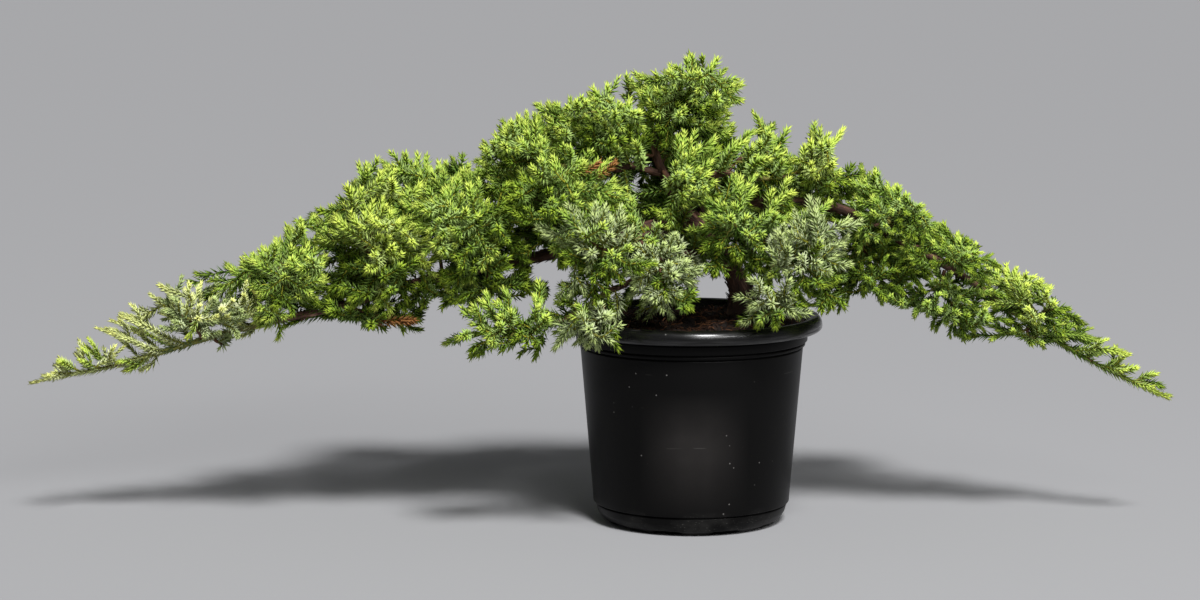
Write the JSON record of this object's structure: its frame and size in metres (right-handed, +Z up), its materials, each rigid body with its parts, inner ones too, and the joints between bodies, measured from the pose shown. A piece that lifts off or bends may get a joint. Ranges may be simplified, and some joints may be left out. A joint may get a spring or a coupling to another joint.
{
  "type": "potted nana japanese garden juniper",
  "caption": "Prostrate garden juniper with a leaning trunk, long spreading boughs and pads of awl needles, growing in a black nursery pot.",
  "frame": {"origin": "middle of the pot's flat underside, on the surface that it stands on", "axes": "+Z up, +X to the right of the front view along the plant's longest spread, +Y from the front towards the back"},
  "size_m": [0.7169, 0.237, 0.2945],
  "materials": {
    "pot_plastic": "satin black moulded plastic, dusty and lightly scuffed",
    "bark_compost": "damp dark bark and peat compost",
    "bark": "rough reddish-brown shredding bark",
    "lime_needles": "satin yellow-green young needles",
    "fresh_needles": "satin mid-green needles",
    "blue_needles": "matt grey-green needles with a pale upper face",
    "deep_needles": "satin deep green needles"
  },
  "bodies": {
    "root": {"bough_back": "bark", "bough_back_left": "bark", "bough_back_right": "bark", "bough_crown_right": "bark", "bough_front_left": "bark", "bough_front_right": "bark", "bough_left": "bark", "bough_low_left": "bark", "bough_right": "bark", "bough_shoulder": "bark", "foliage_back_left_tip": "fresh_needles", "foliage_back_left_top_1": "fresh_needles", "foliage_back_right_tip": "fresh_needles", "foliage_back_right_top_1": "fresh_needles", "foliage_back_tip": "fresh_needles", "foliage_back_upper": "deep_needles", "foliage_front_left_hang": "blue_needles", "foliage_front_left_tip": "blue_needles", "foliage_front_middle": "blue_needles", "foliage_front_right_hang": "blue_needles", "foliage_front_right_tip": "blue_needles", "foliage_left_top_back_1": "lime_needles", "foliage_left_top_back_2": "fresh_needles", "foliage_left_top_back_3": "lime_needles", "foliage_left_top_back_4": "fresh_needles", "foliage_left_top_front_1": "lime_needles", "foliage_left_top_front_2": "lime_needles", "foliage_left_top_front_3": "blue_needles", "foliage_left_top_front_4": "lime_needles", "foliage_left_top_front_5": "lime_needles", "foliage_left_under_1": "deep_needles", "foliage_left_under_2": "deep_needles", "foliage_left_under_3": "blue_needles", "foliage_low_left_hang": "blue_needles", "foliage_low_left_tip": "lime_needles", "foliage_plume_left": "fresh_needles", "foliage_plume_right": "lime_needles", "foliage_right_top_back_1": "fresh_needles", "foliage_right_top_back_2": "deep_needles", "foliage_right_top_back_3": "fresh_needles", "foliage_right_top_front_1": "fresh_needles", "foliage_right_top_front_2": "fresh_needles", "foliage_right_top_front_3": "fresh_needles", "foliage_right_under_1": "deep_needles", "foliage_right_under_2": "fresh_needles", "foliage_right_under_3": "deep_needles", "foliage_shoulder": "lime_needles", "foliage_summit": "lime_needles", "foliage_summit_back": "fresh_needles", "foliage_summit_front": "fresh_needles", "foliage_summit_left": "lime_needles", "foliage_tip_left": "blue_needles", "foliage_tip_right": "fresh_needles", "pot": "pot_plastic", "soil": "bark_compost", "trunk": "bark"}
  },
  "joints": []
}
